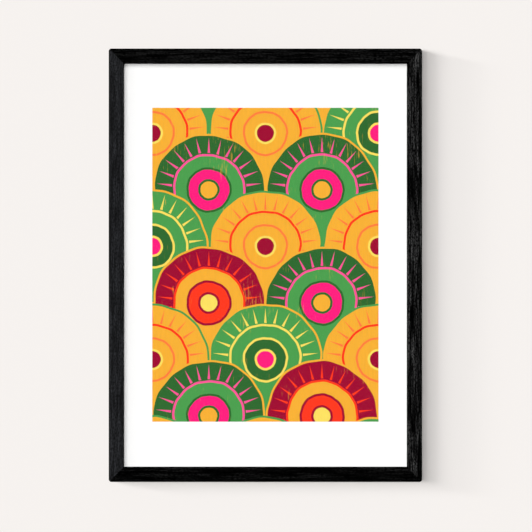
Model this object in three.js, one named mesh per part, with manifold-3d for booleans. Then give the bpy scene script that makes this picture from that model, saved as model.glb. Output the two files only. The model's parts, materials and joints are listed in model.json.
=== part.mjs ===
// A framed print that hangs on a wall: a black wooden frame with mitred
// corners, an acrylic sheet, an A2 print, a foam board and a hardboard back.
// Turn buttons hold the back in, and it hangs by a sawtooth hanger.
//
// Millimetres, +Z up, and the front faces -Y. Y = 0 is the wall, X = 0 the
// middle of the frame, and Z = 0 the hanger's middle notch, where the wall
// nail sits.

import * as THREE from 'three'
import { mergeVertices } from 'three/addons/utils/BufferGeometryUtils.js'
import Module from 'manifold-3d'

const wasm = await Module()
wasm.setup()

// Sheets, all cut to A2
const SHEET_WIDTH = 420
const SHEET_HEIGHT = 594
const GLAZING_THICKNESS = 1.2
const PRINT_THICKNESS = 0.4
const FOAM_BOARD_THICKNESS = 10
const BACKING_THICKNESS = 3
const FLAT_GAP = 0.1 // air between two flat faces that lie on each other

// Moulding
const FACE_WIDTH = 22
const LIP_THICKNESS = 3.4
const SHEET_OVERLAP = 5 // how far the lip covers the edge of the sheets
const REBATE_CLEARANCE = 1 // round the sheets
const EASED_EDGE = 1.8 // rounding of the two front edges
const CORNER_RADIUS = 4 // the frame's outer corners, seen from the front
const MITRE_GAP = 0.1

// Place on the wall
const WALL_GAP = 3.5 // from the wall to the back of the moulding
const NOTCH_DROP = 12 // from the frame's top edge down to the wall nail

// V-nails, which pull the mitres together from behind
const CUT_CLEARANCE = 0.3 // round what is driven in, or turns in a hole
const V_NAIL_LEG = 5.5
const V_NAIL_THICKNESS = 0.7
const V_NAIL_HEIGHT = 8
const V_NAIL_SUNK = 0.5 // below the back of the moulding
const V_NAIL_INSETS = [5, 10.5] // from both outer edges, to the fold

// Turn buttons and their screws
const BUTTON_ARM = 18.5 // from the screw to the middle of the round tip
const BUTTON_ROOT_RADIUS = 4.5
const BUTTON_TIP_RADIUS = 3.5
const BUTTON_THICKNESS = 1
const BUTTON_SPACING_SHORT = 220 // between the two on a short side
const BUTTON_SPACING_LONG = 300
const SCREW_RADIUS = 1.5
const SCREW_LENGTH = 13 // under the head
const SCREW_POINT = 2.5
const SCREW_HEAD_RADIUS = 3
const SCREW_HEAD_HEIGHT = 1.6
const RECESS_WIDTH = 0.8
const RECESS_SPAN = 3.4
const RECESS_DEPTH = 0.9

// Sawtooth hanger and its nails
const HANGER_LENGTH = 48
const HANGER_HEIGHT = 10
const HANGER_THICKNESS = 1
const HANGER_RISE = 2.2 // of the middle above the ends
const HANGER_MIDDLE = 26 // length of the raised middle
const HANGER_RAMP = 3.5 // length of the slope at each end of it
const NOTCH_COUNT = 7
const NOTCH_PITCH = 3.2
const NOTCH_DEPTH = 1.8
const HANGER_NAIL_SPACING = 40
const HANGER_NAIL_RADIUS = 0.9
const HANGER_NAIL_LENGTH = 12 // under the head
const HANGER_NAIL_POINT = 2
const HANGER_NAIL_HEAD_RADIUS = 2.1
const HANGER_NAIL_HEAD_HEIGHT = 0.9

// Wall pads
const PAD_RADIUS = 6
const PAD_INSET = 30 // from the frame's side edge to the middle of a pad

const outerWidth = SHEET_WIDTH - 2 * SHEET_OVERLAP + 2 * FACE_WIDTH
const outerHeight = SHEET_HEIGHT - 2 * SHEET_OVERLAP + 2 * FACE_WIDTH
const stackDepth = GLAZING_THICKNESS + PRINT_THICKNESS + FOAM_BOARD_THICKNESS
  + BACKING_THICKNESS + 5 * FLAT_GAP
const railDepth = LIP_THICKNESS + stackDepth
const rebateInset = FACE_WIDTH - SHEET_OVERLAP - REBATE_CLEARANCE
// Screws, nails and pads stand in the middle of the wood behind the rebate.
const fittingInset = rebateInset / 2
const vNailDepth = V_NAIL_SUNK + V_NAIL_HEIGHT

const finish = (color, roughness, metalness = 0, more = {}) =>
  new THREE.MeshStandardMaterial({ color, roughness, metalness, ...more })

const stainedWood = finish(0x191817, 0.55)
const acrylic = finish(0xffffff, 0.05, 0, { transparent: true, opacity: 0.12 })
const printPaper = finish(0xf8f7f4, 0.9)
const foamCore = finish(0xf1f0ec, 0.85)
const hardboard = finish(0x7b5638, 0.8)
const zincPlate = finish(0xa9adb0, 0.35, 0.9)
const nailSteel = finish(0x6d7073, 0.45, 0.9)
const brassPlate = finish(0xb59a56, 0.35, 0.9)
const felt = finish(0x2a2b2c, 0.95)

// Solids

function solidFrom(geometry) {
  const bare = geometry.clone()
  bare.deleteAttribute('normal')
  bare.deleteAttribute('uv')
  const merged = mergeVertices(bare, 1e-5)
  return new wasm.Manifold(new wasm.Mesh({
    numProp: 3,
    vertProperties: new Float32Array(merged.attributes.position.array),
    triVerts: new Uint32Array(merged.index.array),
  }))
}

function geometryFrom(solid) {
  const { vertProperties, triVerts } = solid.getMesh()
  const indexed = new THREE.BufferGeometry()
  indexed.setAttribute('position', new THREE.BufferAttribute(vertProperties, 3))
  indexed.setIndex(new THREE.BufferAttribute(triVerts, 1))
  const faceted = indexed.toNonIndexed()
  faceted.computeVertexNormals()
  return faceted
}

function cutAll(solid, cutters) {
  return cutters.reduce((rest, cutter) => rest.subtract(solidFrom(cutter)), solid)
}

function shapeFrom(points) {
  return new THREE.Shape(points.map(([x, y]) => new THREE.Vector2(x, y)))
}

// Extrudes a shape that is drawn as seen from the front: its y becomes up,
// and it runs from the plane Y = 0 forwards to Y = -depth.
function forwards(shape, options) {
  const geometry = new THREE.ExtrudeGeometry(shape, { bevelEnabled: false, ...options })
  return geometry.rotateX(Math.PI / 2)
}

// Turns a profile of [radius, y] round an axis that points at the wall.
function turnedAbout(profile, segments) {
  return new THREE.LatheGeometry(profile.map(([r, y]) => new THREE.Vector2(r, y)), segments)
}

function mesh(name, geometry, material, x = 0, y = 0, z = 0) {
  const piece = new THREE.Mesh(geometry, material)
  piece.name = name
  piece.position.set(x, y, z)
  return piece
}

// Rails
//
// Each side is drawn as the top one: its length runs along X, its outer edge
// is at Z = across / 2, and Y = 0 is the back of the moulding. The sides
// follow each other clockwise, seen from the front.

const sides = [
  { name: 'top', length: outerWidth, across: outerHeight, spacing: BUTTON_SPACING_SHORT },
  { name: 'right', length: outerHeight, across: outerWidth, spacing: BUTTON_SPACING_LONG },
  { name: 'bottom', length: outerWidth, across: outerHeight, spacing: BUTTON_SPACING_SHORT },
  { name: 'left', length: outerHeight, across: outerWidth, spacing: BUTTON_SPACING_LONG },
]

function roundedRectangle(width, height, radius) {
  const x = width / 2 - radius
  const y = height / 2 - radius
  const quarter = Math.PI / 2
  const shape = new THREE.Shape()
  shape.absarc(x, y, radius, 0, quarter)
  shape.absarc(-x, y, radius, quarter, 2 * quarter)
  shape.absarc(-x, -y, radius, 2 * quarter, 3 * quarter)
  shape.absarc(x, -y, radius, 3 * quarter, 4 * quarter)
  shape.closePath()
  return shape
}

function rectangle(width, height) {
  const x = width / 2
  const y = height / 2
  return shapeFrom([[-x, -y], [x, -y], [x, y], [-x, y]])
}

// All four rails in one ring, with the front edges eased. It runs on past the
// back of the moulding, where a rail's own block ends it.
function mouldingRing({ length, across }) {
  const face = roundedRectangle(length, across, CORNER_RADIUS)
  face.holes.push(rectangle(length - 2 * FACE_WIDTH, across - 2 * FACE_WIDTH))
  return forwards(face, {
    depth: railDepth - EASED_EDGE,
    curveSegments: 8,
    bevelEnabled: true,
    bevelThickness: EASED_EDGE,
    bevelSize: EASED_EDGE,
    bevelOffset: -EASED_EDGE,
    bevelSegments: 4,
  })
}

// What one rail takes up of the ring, between its two mitres.
function mitredBlock({ length, across }) {
  const beyond = 5
  const inwards = 2 * FACE_WIDTH
  const halfGap = MITRE_GAP / Math.SQRT2
  const outerX = length / 2 + beyond - halfGap
  const innerX = length / 2 - inwards - halfGap
  return forwards(shapeFrom([
    [-innerX, across / 2 - inwards],
    [innerX, across / 2 - inwards],
    [outerX, across / 2 + beyond],
    [-outerX, across / 2 + beyond],
  ]), { depth: railDepth + beyond })
}

function rebate({ length, across }) {
  const width = length - 2 * rebateInset
  const height = across - 2 * rebateInset
  return new THREE.BoxGeometry(width, 2 * stackDepth, height)
}

// A hole from the back of the moulding, open at Y = 0.
function pilotHole(radius, depth, x, z) {
  const beyond = 1
  const hole = new THREE.CylinderGeometry(radius, radius, depth + beyond, 16)
  return hole.translate(x, (beyond - depth) / 2, z)
}

// A strip folded square, with its fold on the mitre and a leg in each rail.
// end is 1 for the right-hand end of a side and -1 for the left-hand one.
function vNailPrism(side, end, inset, grow, back, front) {
  const half = V_NAIL_THICKNESS / 2 + grow
  const leg = V_NAIL_LEG + grow
  const outline = [
    [half, half], [-leg, half], [-leg, -half], [-half, -half], [-half, -leg], [half, -leg],
  ]
  const shape = shapeFrom(outline.map(([x, y]) => [end * x, y]))
  const x = end * (side.length / 2 - inset)
  return forwards(shape, { depth: back - front }).translate(x, back, side.across / 2 - inset)
}

function rail(side) {
  const fittingZ = side.across / 2 - fittingInset
  const screwDepth = SCREW_LENGTH - screwHeadBase + CUT_CLEARANCE
  const slotFront = -vNailDepth - CUT_CLEARANCE
  const cutters = [rebate(side)]
  for (const end of [-1, 1]) {
    const x = end * side.spacing / 2
    cutters.push(pilotHole(SCREW_RADIUS + CUT_CLEARANCE, screwDepth, x, fittingZ))
    for (const inset of V_NAIL_INSETS) {
      cutters.push(vNailPrism(side, end, inset, CUT_CLEARANCE, 1, slotFront))
    }
  }
  if (side.name === 'top') {
    const depth = HANGER_NAIL_LENGTH - hangerNailHeadBase + CUT_CLEARANCE
    const z = hangerZ(side) + HANGER_HEIGHT / 2
    for (const end of [-1, 1]) {
      const x = end * HANGER_NAIL_SPACING / 2
      cutters.push(pilotHole(HANGER_NAIL_RADIUS + CUT_CLEARANCE, depth, x, z))
    }
  }
  const block = solidFrom(mitredBlock(side))
  return geometryFrom(cutAll(solidFrom(mouldingRing(side)).intersect(block), cutters))
}

// Turn buttons and their screws

const screwHeadBase = 2 * FLAT_GAP + BUTTON_THICKNESS

// The screw is at the origin, and the arm points at the middle of the frame.
function turnButton() {
  const slant = Math.asin((BUTTON_ROOT_RADIUS - BUTTON_TIP_RADIUS) / BUTTON_ARM)
  const outline = new THREE.Shape()
  outline.absarc(0, 0, BUTTON_ROOT_RADIUS, slant, Math.PI - slant)
  outline.absarc(0, -BUTTON_ARM, BUTTON_TIP_RADIUS, Math.PI - slant, 2 * Math.PI + slant)
  outline.closePath()
  const hole = new THREE.Path()
  hole.absarc(0, 0, SCREW_RADIUS + CUT_CLEARANCE, 0, 2 * Math.PI)
  outline.holes.push(hole)
  return forwards(outline, { depth: BUTTON_THICKNESS, curveSegments: 8 })
    .translate(0, BUTTON_THICKNESS, 0)
}

// A pan head with a cross recess. Y = 0 is the underside of the head.
function turnButtonScrew() {
  const head = turnedAbout([
    [0, -SCREW_LENGTH],
    [SCREW_RADIUS, SCREW_POINT - SCREW_LENGTH],
    [SCREW_RADIUS, 0],
    [SCREW_HEAD_RADIUS, 0],
    [SCREW_HEAD_RADIUS, 0.45 * SCREW_HEAD_HEIGHT],
    [0.85 * SCREW_HEAD_RADIUS, 0.85 * SCREW_HEAD_HEIGHT],
    [0.5 * SCREW_HEAD_RADIUS, SCREW_HEAD_HEIGHT],
    [0, SCREW_HEAD_HEIGHT],
  ], 20)
  const slot = new THREE.BoxGeometry(RECESS_WIDTH, 2 * RECESS_DEPTH, RECESS_SPAN)
    .translate(0, SCREW_HEAD_HEIGHT, 0)
  return geometryFrom(cutAll(solidFrom(head), [slot, slot.clone().rotateY(Math.PI / 2)]))
}

// Sawtooth hanger

const hangerNailHeadBase = 2 * FLAT_GAP + HANGER_THICKNESS

// Where the hanger's lower edge is on a side: the tips of its teeth hang one
// notch's depth below the wall nail.
function hangerZ(side) {
  return side.across / 2 - NOTCH_DROP - NOTCH_DEPTH
}

// The strip lies on the wood at both ends and stands off it between them.
// Z = 0 is its lower edge, and the teeth are cut into the raised middle.
function sawtoothHanger() {
  const end = HANGER_LENGTH / 2
  const crest = HANGER_MIDDLE / 2
  const foot = crest + HANGER_RAMP
  const bend = HANGER_THICKNESS * Math.tan(Math.atan2(HANGER_RISE, HANGER_RAMP) / 2)
  const back = HANGER_RISE + HANGER_THICKNESS
  const strip = new THREE.ExtrudeGeometry(shapeFrom([
    [-end, 0], [-foot, 0], [-crest, HANGER_RISE], [crest, HANGER_RISE], [foot, 0], [end, 0],
    [end, HANGER_THICKNESS], [foot + bend, HANGER_THICKNESS], [crest + bend, back],
    [-crest - bend, back], [-foot - bend, HANGER_THICKNESS], [-end, HANGER_THICKNESS],
  ]), { depth: HANGER_HEIGHT, bevelEnabled: false })

  const cutters = []
  const beyond = 1
  for (let i = 0; i < NOTCH_COUNT; i += 1) {
    const x = (i - (NOTCH_COUNT - 1) / 2) * NOTCH_PITCH
    const half = NOTCH_PITCH / 2
    const notch = shapeFrom([[-half, 0], [-half, -beyond], [half, -beyond], [half, 0], [0, NOTCH_DEPTH]])
    cutters.push(forwards(notch, { depth: back + 2 * beyond }).translate(x, back + beyond, 0))
  }
  for (const side of [-1, 1]) {
    const radius = HANGER_NAIL_RADIUS + CUT_CLEARANCE
    const hole = new THREE.CylinderGeometry(radius, radius, 4 * HANGER_THICKNESS, 16)
    cutters.push(hole.translate(side * HANGER_NAIL_SPACING / 2, 0, HANGER_HEIGHT / 2))
  }
  return geometryFrom(cutAll(solidFrom(strip), cutters))
}

// Y = 0 is the underside of the head.
function hangerNail() {
  return turnedAbout([
    [0, -HANGER_NAIL_LENGTH],
    [HANGER_NAIL_RADIUS, HANGER_NAIL_POINT - HANGER_NAIL_LENGTH],
    [HANGER_NAIL_RADIUS, 0],
    [HANGER_NAIL_HEAD_RADIUS, 0],
    [HANGER_NAIL_HEAD_RADIUS, 0.4 * HANGER_NAIL_HEAD_HEIGHT],
    [0.6 * HANGER_NAIL_HEAD_RADIUS, HANGER_NAIL_HEAD_HEIGHT],
    [0, HANGER_NAIL_HEAD_HEIGHT],
  ], 16)
}

// Assembly

// The sheets lie behind the lip, the glazing first.
function sheetStack() {
  const stack = new THREE.Group()
  const layers = [
    ['glazing', GLAZING_THICKNESS, acrylic],
    ['print', PRINT_THICKNESS, printPaper],
    ['foam_board', FOAM_BOARD_THICKNESS, foamCore],
    ['backing_board', BACKING_THICKNESS, hardboard],
  ]
  let front = -stackDepth
  for (const [name, thickness, material] of layers) {
    front += FLAT_GAP
    const sheet = new THREE.BoxGeometry(SHEET_WIDTH, thickness, SHEET_HEIGHT)
    stack.add(mesh(name, sheet, material, 0, front + thickness / 2, 0))
    front += thickness
  }
  return stack
}

function hangerSet(side) {
  const set = new THREE.Group()
  set.position.z = hangerZ(side)
  set.add(mesh('sawtooth_hanger', sawtoothHanger(), brassPlate, 0, FLAT_GAP, 0))
  for (const [name, x] of [['left', -HANGER_NAIL_SPACING / 2], ['right', HANGER_NAIL_SPACING / 2]]) {
    const nail = mesh(`hanger_nail_${name}`, hangerNail(), brassPlate)
    nail.position.set(x, hangerNailHeadBase, HANGER_HEIGHT / 2)
    set.add(nail)
  }
  return set
}

// The pads are on the bottom side, which is turned half round, so that its
// right-hand end is the frame's left.
function wallPads(side) {
  const pads = new THREE.Group()
  const thickness = WALL_GAP - FLAT_GAP
  const x = side.length / 2 - PAD_INSET
  const z = side.across / 2 - fittingInset
  for (const [name, end] of [['left', 1], ['right', -1]]) {
    const disc = new THREE.CylinderGeometry(PAD_RADIUS, PAD_RADIUS, thickness, 32)
    pads.add(mesh(`wall_pad_${name}`, disc, felt, end * x, FLAT_GAP + thickness / 2, z))
  }
  return pads
}

const framedPrint = new THREE.Group()
framedPrint.position.set(0, -WALL_GAP, NOTCH_DROP - outerHeight / 2)
framedPrint.add(sheetStack())

let buttonNumber = 0
sides.forEach((side, turn) => {
  const group = new THREE.Group()
  group.rotation.y = turn * Math.PI / 2
  group.add(mesh(`rail_${side.name}`, rail(side), stainedWood))

  const next = sides[(turn + 1) % sides.length]
  V_NAIL_INSETS.forEach((inset, i) => {
    const strip = vNailPrism(side, 1, inset, 0, -V_NAIL_SUNK, -vNailDepth)
    group.add(mesh(`v_nail_${side.name}_${next.name}_${i + 1}`, strip, nailSteel))
  })

  const fittingZ = side.across / 2 - fittingInset
  for (const end of [-1, 1]) {
    const x = end * side.spacing / 2
    buttonNumber += 1
    group.add(mesh(`turn_button_${buttonNumber}`, turnButton(), zincPlate, x, FLAT_GAP, fittingZ))
    group.add(mesh(`turn_button_screw_${buttonNumber}`, turnButtonScrew(), zincPlate,
      x, screwHeadBase, fittingZ))
  }

  if (side.name === 'top') group.add(hangerSet(side))
  if (side.name === 'bottom') group.add(wallPads(side))
  framedPrint.add(group)
})

const part = new THREE.Group()
part.add(framedPrint)

export default part
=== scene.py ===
# A framed print on a wall: black-stained moulding, acrylic, a printed sheet,
# and the hardware behind it. Metres, +Z up, the front faces -Y.
import json
import math
import random
import bmesh
import bpy
from mathutils import Matrix, Vector
from mathutils.geometry import delaunay_2d_cdt

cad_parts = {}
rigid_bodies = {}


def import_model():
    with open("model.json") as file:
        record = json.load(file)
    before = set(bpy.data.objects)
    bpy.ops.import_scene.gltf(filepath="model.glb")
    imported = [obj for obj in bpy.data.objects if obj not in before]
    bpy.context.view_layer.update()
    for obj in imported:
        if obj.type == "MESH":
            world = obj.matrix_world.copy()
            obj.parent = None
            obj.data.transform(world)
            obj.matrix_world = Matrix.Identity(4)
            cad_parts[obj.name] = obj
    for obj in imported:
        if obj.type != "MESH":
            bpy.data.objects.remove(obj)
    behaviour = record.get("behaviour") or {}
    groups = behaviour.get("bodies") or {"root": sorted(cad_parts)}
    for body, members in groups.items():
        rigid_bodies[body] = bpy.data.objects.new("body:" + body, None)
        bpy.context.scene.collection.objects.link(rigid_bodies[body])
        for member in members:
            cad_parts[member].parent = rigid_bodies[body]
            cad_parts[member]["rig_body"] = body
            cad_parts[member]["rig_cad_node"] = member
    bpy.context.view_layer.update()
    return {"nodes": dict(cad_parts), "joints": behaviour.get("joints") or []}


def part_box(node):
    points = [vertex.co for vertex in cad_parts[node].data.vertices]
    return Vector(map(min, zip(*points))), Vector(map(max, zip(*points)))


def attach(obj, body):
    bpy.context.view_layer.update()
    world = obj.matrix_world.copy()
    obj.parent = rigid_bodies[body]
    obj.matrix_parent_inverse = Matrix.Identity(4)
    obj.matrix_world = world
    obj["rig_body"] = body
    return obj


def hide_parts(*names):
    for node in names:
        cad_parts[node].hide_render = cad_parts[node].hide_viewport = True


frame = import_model()
print("frame loaded:", len(frame["nodes"]), "nodes")

mm = 0.001
xAxis, yAxis, zAxis = Vector((1, 0, 0)), Vector((0, 1, 0)), Vector((0, 0, 1))

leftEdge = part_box("rail_left")[0].x
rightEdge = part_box("rail_right")[1].x
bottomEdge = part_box("rail_bottom")[0].z
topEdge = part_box("rail_top")[1].z
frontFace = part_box("rail_top")[0].y
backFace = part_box("rail_top")[1].y
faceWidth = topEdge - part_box("rail_top")[0].z
middle = Vector(((leftEdge + rightEdge) / 2, 0, (bottomEdge + topEdge) / 2))

view = bpy.context.scene.view_settings
view.view_transform = "Standard"


def hexLinear(code):
    parts = [int(code[i:i + 2], 16) / 255 for i in (1, 3, 5)]
    return [c / 12.92 if c <= 0.04045 else ((c + 0.055) / 1.055) ** 2.4 for c in parts] + [1.0]


def addNode(tree, kind, given=None):
    # names in lower case are the node's settings, the rest are its sockets; a socket
    # takes a value, another socket, or a node, which gives its first output
    node = tree.nodes.new("ShaderNode" + kind)
    for name, value in (given or {}).items():
        if name == "stops":
            ramp = node.color_ramp.elements
            while len(ramp) < len(value):
                ramp.new(0.5)
            for stop, (place, colour) in zip(ramp, value):
                stop.position, stop.color = place, colour
        elif isinstance(name, str) and name[0].islower():
            setattr(node, name, value)
        elif isinstance(value, (bpy.types.Node, bpy.types.NodeSocket)):
            source = value.outputs[0] if isinstance(value, bpy.types.Node) else value
            tree.links.new(source, node.inputs[name])
        else:
            node.inputs[name].default_value = value
    return node


def newMaterial(name):
    # place is where a point lies in the object's own coordinates
    material = bpy.data.materials.new(name)
    material.use_nodes = True
    tree = material.node_tree
    tree.nodes.clear()
    place = addNode(tree, "TexCoord").outputs["Object"]
    return material, tree, place


def activate(obj):
    for other in bpy.context.selected_objects:
        other.select_set(False)
    obj.select_set(True)
    bpy.context.view_layer.objects.active = obj


def placed(name):
    # names the new primitive and puts its place into its mesh
    obj = bpy.context.object
    activate(obj)
    obj.name = obj.data.name = name
    bpy.ops.object.transform_apply(location=True, rotation=True, scale=True)
    return obj


def addBlock(name, low, high):
    low, high = Vector(low), Vector(high)
    bpy.ops.mesh.primitive_cube_add(size=1, location=(low + high) / 2, scale=high - low)
    return placed(name)


def addDisc(name, radius, length, location, vertices=32):
    # a cylinder whose axis points at the wall
    bpy.ops.mesh.primitive_cylinder_add(vertices=vertices, radius=radius, depth=length,
                                        location=location, rotation=(-math.pi / 2, 0, 0))
    return placed(name)


def editStart(obj):
    activate(obj)
    bpy.ops.object.mode_set(mode="EDIT")
    bpy.ops.mesh.select_mode(type="FACE")
    bpy.ops.mesh.select_all(action="DESELECT")


def editDone():
    bpy.ops.object.mode_set(mode="OBJECT")


def pick(obj, kind, test):
    # in edit mode, selects the verts, edges or faces that pass the test
    bpy.ops.mesh.select_mode(type=kind)
    bpy.ops.mesh.select_all(action="DESELECT")
    mesh = bmesh.from_edit_mesh(obj.data)
    mesh.normal_update()
    for part in {"VERT": mesh.verts, "EDGE": mesh.edges, "FACE": mesh.faces}[kind]:
        if test(part):
            part.select_set(True)
    mesh.select_flush_mode()
    bmesh.update_edit_mesh(obj.data)


def near(a, b, reach=0.02 * mm):
    return abs(a - b) < reach


def runsInDepth(e):
    return not near(e.verts[0].co.y, e.verts[1].co.y)


def roundEdges(obj, width, segments, test):
    pick(obj, "EDGE", test)
    bpy.ops.mesh.bevel(offset=width, segments=segments, affect="EDGES")


def roundRim(obj, y, width, segments):
    # the edges that lie at one depth
    roundEdges(obj, width, segments, lambda e: all(near(v.co.y, y) for v in e.verts))


def boxOf(node):
    low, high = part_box(node)
    return low, high, (low + high) / 2


def applyModifier(obj, kind, **settings):
    activate(obj)
    modifier = obj.modifiers.new(kind.title(), kind)
    for name, value in settings.items():
        setattr(modifier, name, value)
    bpy.ops.object.modifier_apply(modifier=modifier.name)


def cutWith(obj, cutter):
    applyModifier(obj, "BOOLEAN", operation="DIFFERENCE", solver="MANIFOLD", object=cutter)
    bpy.data.objects.remove(cutter)


def joinAll(pieces, name):
    activate(pieces[0])
    for piece in pieces[1:]:
        piece.select_set(True)
    bpy.ops.object.join()
    pieces[0].name = pieces[0].data.name = name
    return pieces[0]


def copyOf(obj, name, matrix=None):
    # a copy with its own mesh
    twin = obj.copy()
    twin.data = obj.data.copy()
    twin.name = twin.data.name = name
    bpy.context.collection.objects.link(twin)
    if matrix:
        twin.data.transform(matrix)
    return twin


def smoothByAngle(obj, degrees=32):
    activate(obj)
    bpy.ops.object.shade_smooth_by_angle(angle=math.radians(degrees))


def finishPiece(obj, material, node, body="frame"):
    obj.data.materials.clear()
    obj.data.materials.append(material)
    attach(obj, body)
    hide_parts(node)


# camera

cameraLook = {
    "lens": 200,                  # long, so that the frame's sides don't show
    "sensor": 36,
    "framedWidth": 770.5 * mm,    # what the picture takes in at the frame's front
    "aimRight": 0.87 * mm,
    "aimDown": 1.08 * mm,
    "farthest": 60,
}

cameraData = bpy.data.cameras.new("longLens")
cameraData.lens = cameraLook["lens"]
cameraData.sensor_width = cameraLook["sensor"]
cameraData.clip_end = cameraLook["farthest"]
camera = bpy.data.objects.new("camera", cameraData)
bpy.context.scene.collection.objects.link(camera)
away = cameraLook["framedWidth"] * cameraLook["lens"] / cameraLook["sensor"]
camera.location = (middle.x + cameraLook["aimRight"], frontFace - away,
                   middle.z - cameraLook["aimDown"])
camera.rotation_euler = (math.pi / 2, 0, 0)
bpy.context.scene.camera = camera
print("camera", round(away, 3), "m from the frame")


# wall, floor and light

stageLook = {
    "wallColour": "#EFEBE8",
    "floorColour": "#E9E6E2",
    "width": 16,
    "wallHeight": 6,
    "floorDrop": 1.6,             # from the middle of the frame
    "behind": 0.2 * mm,           # the wall stands just clear of the pads
}

lightLook = {
    # angle off the wall, rise above level, share of the light, softness; all from the left
    "leftRow": [
        (11, 12, 0.018, 4), (14, 12, 0.035, 4), (18, 12, 0.025, 5), (26, 17, 0.035, 7),
        (32, 5, 0.060, 8), (39, 17, 0.080, 10), (41, 4, 0.028, 10), (47, 4, 0.045, 12),
        (57, 5, 0.060, 14), (67, 0, 0.125, 14), (78, 10, 0.075, 12), (84, 10, 0.100, 8),
    ],
    "steep": 50,                  # lights steeper than this give no gloss
    "wallLight": 3.225,
    # what the row leaves comes from one lamp straight at the wall and one from above,
    # flagged so that it lights the frame alone and the wall gets no second shadow
    "aboveAngle": 40,
    "aboveSoftness": 30,
    "wallSoftness": 2,
    # towards the light, strength, softness
    "behind": {"backKey": ((-0.5, 1, 0.7), 2.6, 20), "backFill": ((0.9, 1, 0.1), 1.2, 40)},
    "room": 0.05,
    "mirrored": 0.35,             # what metal and acrylic reflect of the room
    "backdrop": 0.86,
    "roomColour": "#F8F6F4",
}


def paintedPlaster(name, colour, seenFromBehind):
    # matt emulsion on plaster: flat and pale, with a faint roller stipple 3 mm across
    material, tree, place = newMaterial(name)
    stipple = addNode(tree, "TexNoise", {"Vector": place, "Scale": 350, "Detail": 3})
    bump = addNode(tree, "Bump", {"Height": stipple, "Strength": 0.15, "Distance": 0.1 * mm})
    matt = addNode(tree, "BsdfDiffuse", {"Color": hexLinear(colour), "Normal": bump})
    surface = matt
    if not seenFromBehind:        # clear from there, so that the back of the frame shows
        side = addNode(tree, "NewGeometry")
        clear = addNode(tree, "BsdfTransparent")
        surface = addNode(tree, "MixShader", {0: side.outputs["Backfacing"], 1: matt, 2: clear})
    addNode(tree, "OutputMaterial", {"Surface": surface})
    return material


def addSheet(name, width, height, location, rotation):
    bpy.ops.mesh.primitive_grid_add(x_subdivisions=4, y_subdivisions=4, size=1,
                                    location=location, rotation=rotation)
    bpy.context.object.scale = (width, height, 1)
    return placed(name)


def addSun(name, towards, strength, softness, glossy=True):
    # towards is the direction that the light comes from
    sun = bpy.data.lights.new(name, "SUN")
    sun.energy = strength
    sun.angle = math.radians(softness)
    lamp = bpy.data.objects.new(name, sun)
    bpy.context.scene.collection.objects.link(lamp)
    lamp.rotation_mode = "QUATERNION"
    lamp.rotation_quaternion = Vector(towards).to_track_quat("Z", "Y")
    lamp.visible_glossy = glossy
    return lamp


def buildStage():
    floorLevel = middle.z - stageLook["floorDrop"]
    wall = addSheet("wall", stageLook["width"], stageLook["wallHeight"],
                    (0, stageLook["behind"], floorLevel + stageLook["wallHeight"] / 2),
                    (math.pi / 2, 0, 0))
    wall.data.materials.append(paintedPlaster("wallEmulsion", stageLook["wallColour"], False))
    wall.visible_shadow = False       # the lamps behind shine through it
    floor = addSheet("floor", stageLook["width"], stageLook["width"], (0, 0, floorLevel),
                     (0, 0, 0))
    floor.data.materials.append(paintedPlaster("floorPaint", stageLook["floorColour"], True))
    floor.visible_diffuse = False     # it sends no light up onto the frame
    return [wall, floor]


def lightOnly(lamp, objects):
    reached = bpy.data.collections.new(lamp.name + "Reach")
    for obj in objects:
        reached.objects.link(obj)
    lamp.light_linking.receiver_collection = reached


def buildLight(stage):
    for i, (angle, rise, share, softness) in enumerate(lightLook["leftRow"]):
        off, up = math.radians(angle), math.radians(rise)
        towards = (-math.cos(off) * math.cos(up), -math.sin(off), math.cos(off) * math.sin(up))
        strength = lightLook["wallLight"] * share / math.sin(off)
        addSun(f"leftLight{i + 1}", towards, strength, softness, angle < lightLook["steep"])
    rest = lightLook["wallLight"] * (1 - sum(light[2] for light in lightLook["leftRow"]))
    wallLamp = addSun("wallLamp", (0, -1, 0), rest, lightLook["wallSoftness"], glossy=False)
    lightOnly(wallLamp, stage)
    above = math.radians(lightLook["aboveAngle"])
    frameLamp = addSun("frameLamp", (0, -math.sin(above), math.cos(above)),
                       rest / math.sin(above), lightLook["aboveSoftness"], glossy=False)
    lightOnly(frameLamp, [obj for obj in bpy.context.scene.objects
                          if obj.type == "MESH" and obj not in stage])
    for name, (towards, strength, softness) in lightLook["behind"].items():
        addSun(name, towards, strength, softness)

    world = bpy.data.worlds.new("room")
    bpy.context.scene.world = world
    world.use_nodes = True
    tree = world.node_tree
    tree.nodes.clear()
    path = addNode(tree, "LightPath")
    pale = addNode(tree, "MapRange", {
        "Value": path.outputs["Is Camera Ray"], "To Min": lightLook["room"],
        "To Max": lightLook["backdrop"]})
    mirrored = addNode(tree, "Math", {
        "operation": "MULTIPLY_ADD", 0: path.outputs["Is Glossy Ray"], 1: lightLook["mirrored"],
        2: pale})
    sky = addNode(tree, "Background", {
        "Color": hexLinear(lightLook["roomColour"]), "Strength": mirrored})
    addNode(tree, "OutputWorld", {"Surface": sky})


stage = buildStage()
print("wall and floor ready")


# moulding

mouldingLook = {
    "cornerRadius": 4 * mm,
    "easedEdge": 1.8 * mm,
    "sharpEdge": 0.18 * mm,       # the arris left on cut edges
    "mitreGap": 0.05 * mm,        # on each side of the joint
    "lip": 3.4 * mm,
    "rebateInset": 16 * mm,
    "slotFit": 0.03 * mm,         # round V-nails, screws and nails
    "slotRunOut": 2 * mm,         # how far the V-nail cutters stand out of the back
    "screwShank": 1.5 * mm,
    "nailShank": 0.9 * mm,
    "outerBand": 3 * mm,          # what counts as the outer edge
}

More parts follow.
